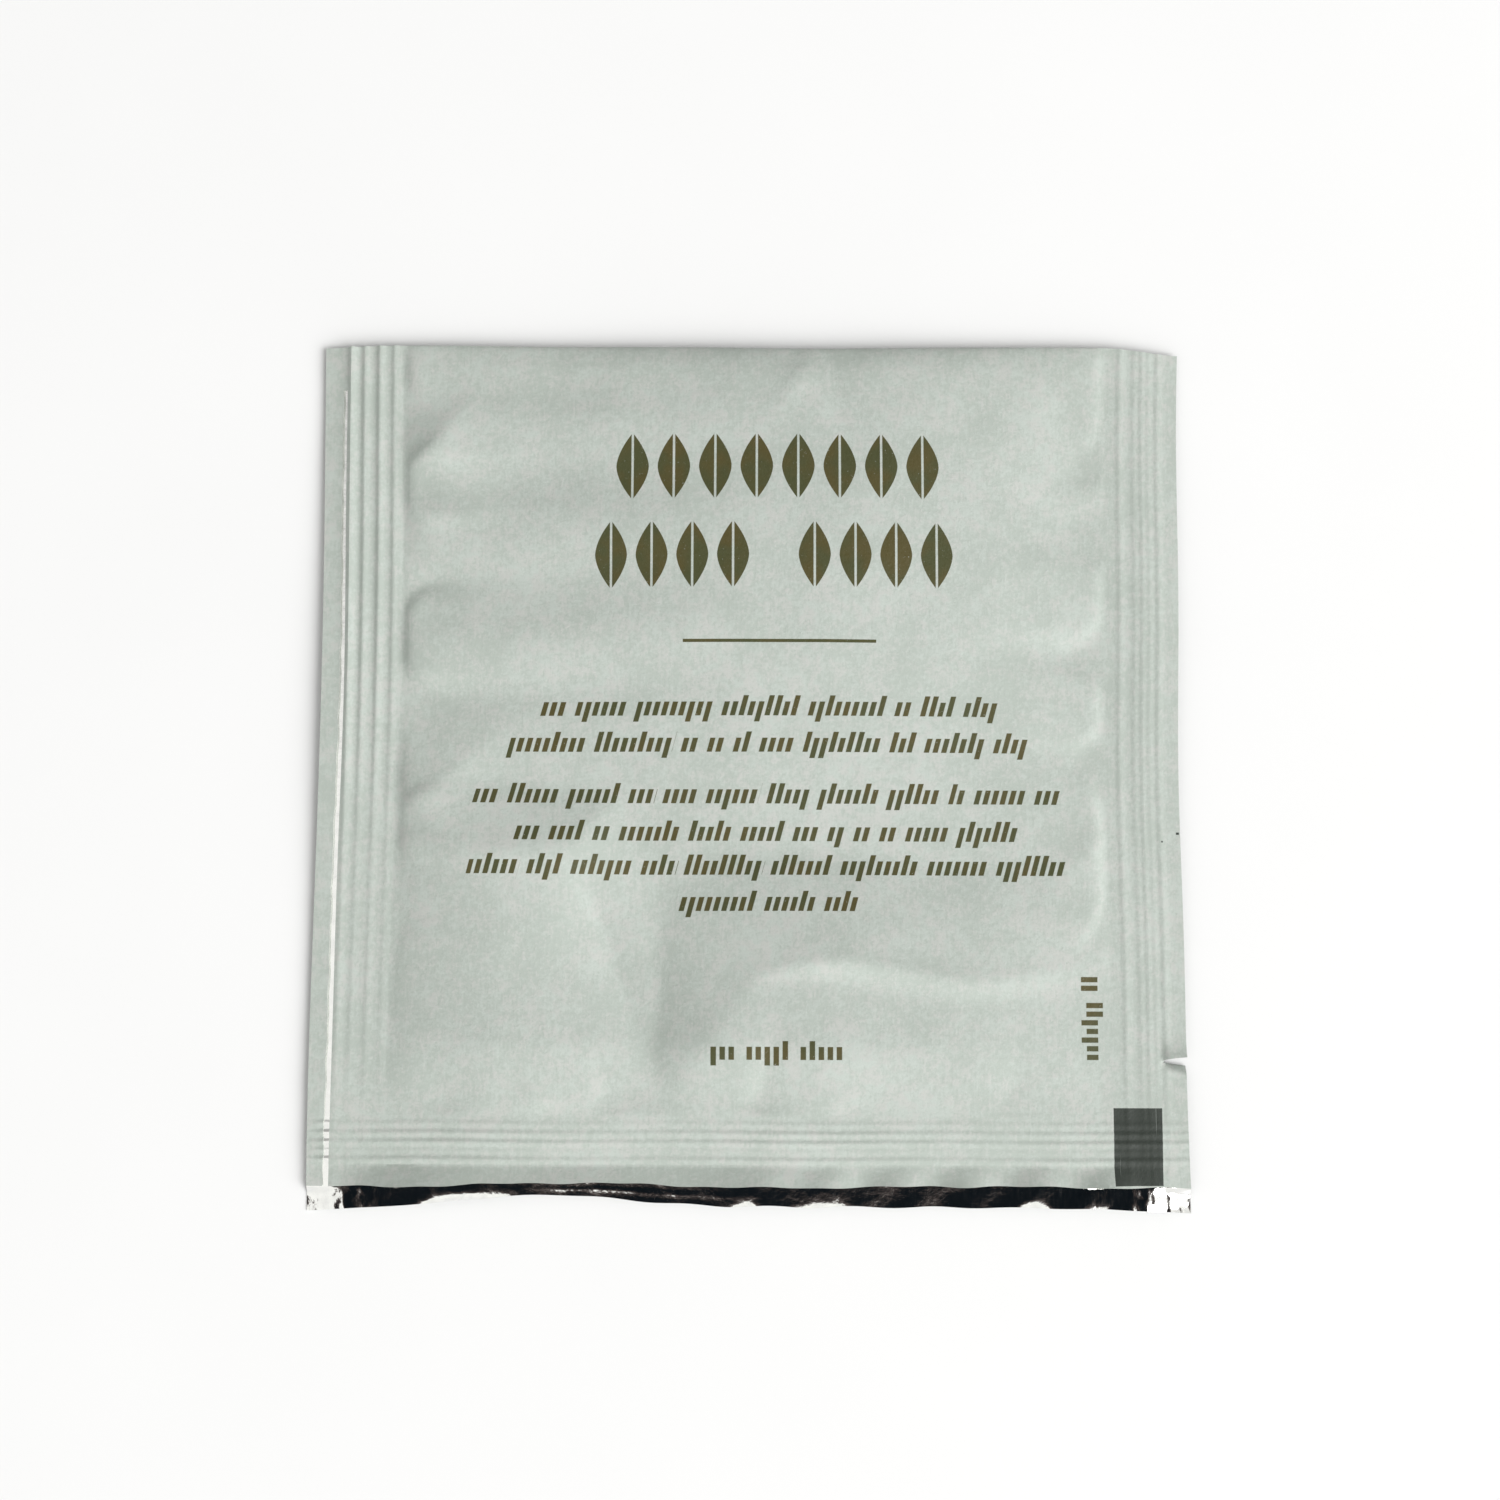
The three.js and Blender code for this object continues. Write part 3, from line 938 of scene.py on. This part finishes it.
def stroke_line(nodes, u, v, x, y, width, height, slant, pitch, seed):
    """Short strokes in word-like runs, which stand for a line of small print."""
    strokes = round(width / pitch)
    up = nodes.math("SUBTRACT", v, y)
    upright = nodes.math("SUBTRACT", u, x - width / 2)
    along = nodes.math("SUBTRACT", upright, nodes.math("MULTIPLY", up, slant))
    share = nodes.math("DIVIDE", along, width)
    cell = nodes.math("MULTIPLY", share, strokes)
    random_height = nodes.add("ShaderNodeTexWhiteNoise", noise_dimensions="1D")
    nodes.set(random_height.inputs["W"], nodes.math("ADD", nodes.math("FLOOR", cell), seed * 31.7))
    tall = nodes.math("GREATER_THAN", random_height.outputs["Value"], 0.72)
    low = nodes.math("LESS_THAN", random_height.outputs["Value"], 0.12)
    extra = nodes.math("MULTIPLY", nodes.math("ADD", tall, low), height * 0.22)
    shift = nodes.math("MULTIPLY", nodes.math("SUBTRACT", tall, low), height * 0.22)
    level = nodes.math("ABSOLUTE", nodes.math("SUBTRACT", up, shift))
    inside = nodes.math("SUBTRACT", nodes.math("ADD", extra, height / 2), level)
    in_band = nodes.ramp(inside, -0.03, 0.03)
    middle = nodes.math("SUBTRACT", nodes.math("FRACT", cell), 0.5)
    stroke = within(nodes, middle, 0.31, 0.05)
    in_words = run_mask(nodes, share, word_runs(strokes, seed))
    return nodes.math("MULTIPLY", nodes.math("MULTIPLY", in_band, stroke), in_words)


def leaf_row(nodes, u, v, x, y, width, count):
    """A row of plain upright leaves, each with a bare midrib, and a gap in an odd row's middle."""
    pitch = width / count
    cell = nodes.math("DIVIDE", nodes.math("SUBTRACT", u, x - width / 2), pitch)
    number = nodes.math("FLOOR", cell)
    across = nodes.math("MULTIPLY", nodes.math("SUBTRACT", nodes.math("FRACT", cell), 0.5), pitch)
    tallness = nodes.math("DIVIDE", nodes.math("SUBTRACT", v, y), LEAF_HALF_HEIGHT)
    narrowing = nodes.math("POWER", nodes.math("ABSOLUTE", tallness), 1.7)
    bow = nodes.math("SUBTRACT", 1.0, narrowing, clamp=True)
    half_width = nodes.math("MULTIPLY", bow, pitch * 0.4)
    edge = nodes.math("SUBTRACT", half_width, nodes.math("ABSOLUTE", across))
    leaf = nodes.ramp(edge, 0.0, 0.05)
    rib = nodes.ramp(nodes.math("ABSOLUTE", across), 0.07, 0.13)
    in_row = within(nodes, nodes.math("SUBTRACT", u, x), width / 2)
    shape = nodes.math("MULTIPLY", nodes.math("MULTIPLY", leaf, rib), in_row)
    if count % 2 == 0:
        return shape
    gap = nodes.math("COMPARE", number, float(count // 2))
    return nodes.math("MULTIPLY", shape, nodes.math("SUBTRACT", 1.0, gap))


def side_label(nodes, u, v):
    """The line of strokes that reads up the side."""
    turned = {
        "x": SIDE_LABEL["y"],
        "y": -SIDE_LABEL["x"],
        "width": SIDE_LABEL["width"],
        "height": SIDE_LABEL["height"],
    }
    return stroke_line(nodes, v, nodes.math("MULTIPLY", u, -1.0), **turned, **LABEL_STROKE, seed=24)


def olive_print(nodes, u, v):
    """1 on the leaves, the rule and the lines of strokes."""
    parts = [leaf_row(nodes, u, v, *row) for row in LEAF_ROWS]
    parts.append(rectangle(nodes, u, v, **RULE))
    for seed, line in enumerate(BODY_LINES, start=1):
        parts.append(stroke_line(nodes, u, v, *line, **BODY_STROKE, seed=seed))
    parts.append(stroke_line(nodes, u, v, **ADDRESS, **LABEL_STROKE, seed=21))
    parts.append(side_label(nodes, u, v))
    total = parts[0]
    for part in parts[1:]:
        total = nodes.math("MAXIMUM", total, part)
    return total


# ---------------------------------------------------------------- materials


def paper_surface(nodes):
    """Colour, roughness and height of the uncoated side of the paper."""
    where = nodes.place()
    grain = nodes.noise(where, 4.2, 3.0, 0.6)
    mottle = nodes.noise(where, 1.7, 3.0, 0.6)
    cloud = nodes.noise(where, 0.22, 3.0, 0.55)
    fibres = nodes.noise(nodes.place((4.0, 0.6, 1.0)), 1.1, 3.0, 0.6)
    tint = nodes.noise(where, 0.9, 2.0, 0.5)
    shade = nodes.math("MULTIPLY", nodes.math("ADD", grain, mottle), 0.5)
    for pattern, amount in ((cloud, 0.5), (fibres, 0.3)):
        off_middle = nodes.math("SUBTRACT", pattern, 0.5)
        shade = nodes.math("ADD", shade, nodes.math("MULTIPLY", off_middle, amount))
    light = nodes.mix(nodes.ramp(tint, 0.4, 0.6), PAPER, PAPER_WARM)
    color = nodes.mix(nodes.ramp(shade, 0.36, 0.64), PAPER_SHADE, light)
    roughness = nodes.ramp(grain, 0.3, 0.7, 0.55, 0.75)
    height = nodes.math("ADD", nodes.math("MULTIPLY", grain, 0.5), mottle)
    height = nodes.math("ADD", height, nodes.math("MULTIPLY", fibres, 0.3))
    return color, roughness, height


def printed_paper():
    """Paper with worn olive print, a dark machine mark with thin painted highlights down it where
    it is creased, and specks.
    """
    nodes = Nodes("printed_paper")
    color, roughness, height = paper_surface(nodes)
    split = nodes.add("ShaderNodeSeparateXYZ")
    nodes.set(split.inputs[0], nodes.place())
    u, v = split.outputs[0], split.outputs[1]
    tint = nodes.noise(nodes.place(), 0.35, 2.0, 0.5)
    ink_color = nodes.mix(nodes.ramp(tint, 0.35, 0.65), INK, INK_GREEN)
    worn = nodes.ramp(nodes.noise(nodes.place(), 4.5, 2.0, 0.6), 0.66, 0.8, 1.0, 0.55)
    ink = nodes.math("MULTIPLY", olive_print(nodes, u, v), worn)
    mark = rectangle(nodes, u, v, **EYE_MARK)
    color = nodes.mix(ink, color, ink_color)
    # Thin lighter lines down the dark mark: painted highlights where the mark is creased.
    crease_highlight_noise = nodes.noise(nodes.place((6.0, 0.12, 1.0)), 1.0, 1.0, 0.4)
    painted_crease_highlight = nodes.ramp(crease_highlight_noise, 0.68, 0.74, 0.0, 0.3)
    color = nodes.mix(mark, color, nodes.mix(painted_crease_highlight, MARK_INK, PAPER))
    for speck in SPECKS:
        color = nodes.mix(rectangle(nodes, u, v, **speck), color, MARK_INK)
    covered = nodes.math("MAXIMUM", ink, mark)
    roughness = nodes.math("SUBTRACT", roughness, nodes.math("MULTIPLY", covered, 0.12))
    return nodes.finish(color, roughness, height, PAPER_BUMP, specular=PAPER_SHINE)


def plain_paper():
    nodes = Nodes("plain_paper")
    return nodes.finish(*paper_surface(nodes), PAPER_BUMP, specular=PAPER_SHINE)


def foil():
    nodes = Nodes("aluminium_foil")
    where = nodes.place()
    crumple = nodes.noise(where, 0.9, 3.0, 0.5)
    scratch = nodes.noise(nodes.place((8.0, 0.8, 1.0)), 1.2, 2.0, 0.5)
    color = nodes.mix(nodes.ramp(crumple, 0.3, 0.7), ALUMINIUM_DULL, ALUMINIUM)
    roughness = nodes.ramp(scratch, 0.3, 0.7, 0.05, 0.11)
    return nodes.finish(color, roughness, crumple, FOIL_BUMP, metallic=1.0)


def cut_edge():
    nodes = Nodes("cut_paper_edge")
    grain = nodes.noise(nodes.place(), 5.0, 2.0, 0.6)
    color = nodes.mix(grain, PAPER, CORE)
    return nodes.finish(color, nodes.ramp(grain, 0.3, 0.7, 0.75, 0.9), grain, EDGE_BUMP)


# ---------------------------------------------------------------- table, light and camera


TABLE_HALF_SIZE = 1.2  # metres
TABLE_GAP = 0.02 * MM  # under the sachet, so that no faces coincide


def make_table():
    mesh = bpy.data.meshes.new("table")
    signs = ((-1, -1), (1, -1), (1, 1), (-1, 1))
    corners = [(a * TABLE_HALF_SIZE, b * TABLE_HALF_SIZE, -TABLE_GAP) for a, b in signs]
    mesh.from_pydata(corners, [], [(0, 1, 2, 3)])
    table = bpy.data.objects.new("table", mesh)
    bpy.context.scene.collection.objects.link(table)
    nodes = Nodes("pale_table")
    grain = nodes.noise(nodes.place(), 0.05, 2.0, 0.5)
    color = nodes.mix(grain, TABLE_DARK, TABLE_LIGHT)
    roughness = nodes.ramp(grain, 0.3, 0.7, 0.85, 0.95)
    mesh.materials.append(nodes.finish(color, roughness, grain, 0.0, specular=0.2))


# Glow of the surroundings by the Z of the direction: bright all round, and dark overhead, where
# the camera is
SKY = (
    (0.0, (1.6, 1.6, 1.6)),
    (0.3, (1.15, 1.15, 1.15)),
    (0.5, (1.15, 1.15, 1.13)),
    (0.88, (1.25, 1.25, 1.22)),
    (0.915, (0.11, 0.09, 0.085)),
    (0.95, (0.03, 0.026, 0.026)),
    (0.968, (0.006, 0.009, 0.012)),
)
SKY_STRENGTH = 0.82
SKY_BEHIND = 0.45  # share of that strength behind the top edge


def make_world():
    """The glow by height, weaker behind the sachet's top edge."""
    world = bpy.data.worlds.new("studio")
    world.use_nodes = True
    bpy.context.scene.world = world
    tree = world.node_tree
    tree.nodes.clear()
    where = tree.nodes.new("ShaderNodeTexCoord")
    split = tree.nodes.new("ShaderNodeSeparateXYZ")
    tree.links.new(where.outputs["Generated"], split.inputs[0])
    ramp = tree.nodes.new("ShaderNodeValToRGB")
    ramp.color_ramp.interpolation = "EASE"
    for _ in SKY[2:]:
        ramp.color_ramp.elements.new(0.5)
    for element, (height, glow) in zip(ramp.color_ramp.elements, SKY):
        element.position = height
        element.color = (*glow, 1)
    tree.links.new(split.outputs[2], ramp.inputs["Fac"])
    side = tree.nodes.new("ShaderNodeMapRange")
    side.interpolation_type = "SMOOTHSTEP"
    tree.links.new(split.outputs[1], side.inputs["Value"])
    side.inputs["From Min"].default_value = 0.0
    side.inputs["From Max"].default_value = 0.5
    side.inputs["To Min"].default_value = SKY_STRENGTH
    side.inputs["To Max"].default_value = SKY_STRENGTH * SKY_BEHIND
    background = tree.nodes.new("ShaderNodeBackground")
    tree.links.new(ramp.outputs[0], background.inputs["Color"])
    tree.links.new(side.outputs[0], background.inputs["Strength"])
    output = tree.nodes.new("ShaderNodeOutputWorld")
    tree.links.new(background.outputs[0], output.inputs["Surface"])


def make_light(name, direction, distance, size, power):
    """A round soft light that faces the sachet."""
    data = bpy.data.lights.new(name, "AREA")
    data.shape = "DISK"
    data.size = size
    data.energy = power
    light = bpy.data.objects.new(name, data)
    toward = Vector(direction).normalized()
    light.location = toward * distance
    light.rotation_euler = toward.to_track_quat("Z", "Y").to_euler()
    bpy.context.scene.collection.objects.link(light)


CAMERA_AIM = Vector((0.0, 1.75 * MM, 1.5 * MM))
CAMERA_DISTANCE = 200 * MM
CAMERA_ELEVATION = math.radians(83.73)
CAMERA_ROLL = math.radians(0.19)


def make_camera():
    """Nearly straight above, leaning in from the bottom edge."""
    back = Vector((0, -math.cos(CAMERA_ELEVATION), math.sin(CAMERA_ELEVATION)))
    data = bpy.data.cameras.new("camera")
    data.sensor_width = 36.0
    data.lens = 55.8
    data.clip_start = 0.01
    camera = bpy.data.objects.new("camera", data)
    turn = back.to_track_quat("Z", "Y").to_matrix() @ Matrix.Rotation(CAMERA_ROLL, 3, "Z")
    place = Matrix.Translation(CAMERA_AIM + back * CAMERA_DISTANCE)
    camera.matrix_world = place @ turn.to_4x4()
    bpy.context.scene.collection.objects.link(camera)
    bpy.context.scene.camera = camera


# ---------------------------------------------------------------- scene

make_camera()
make_world()
make_light("key", (0.68, -0.4, 0.615), distance=2.2, size=2.0, power=55.5)
make_table()

envelope = make_envelope()
for finish in (printed_paper(), plain_paper(), foil(), cut_edge()):
    envelope.data.materials.append(finish)
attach(envelope, "root")
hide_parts("sachet")

bpy.context.scene.view_settings.view_transform = "Standard"
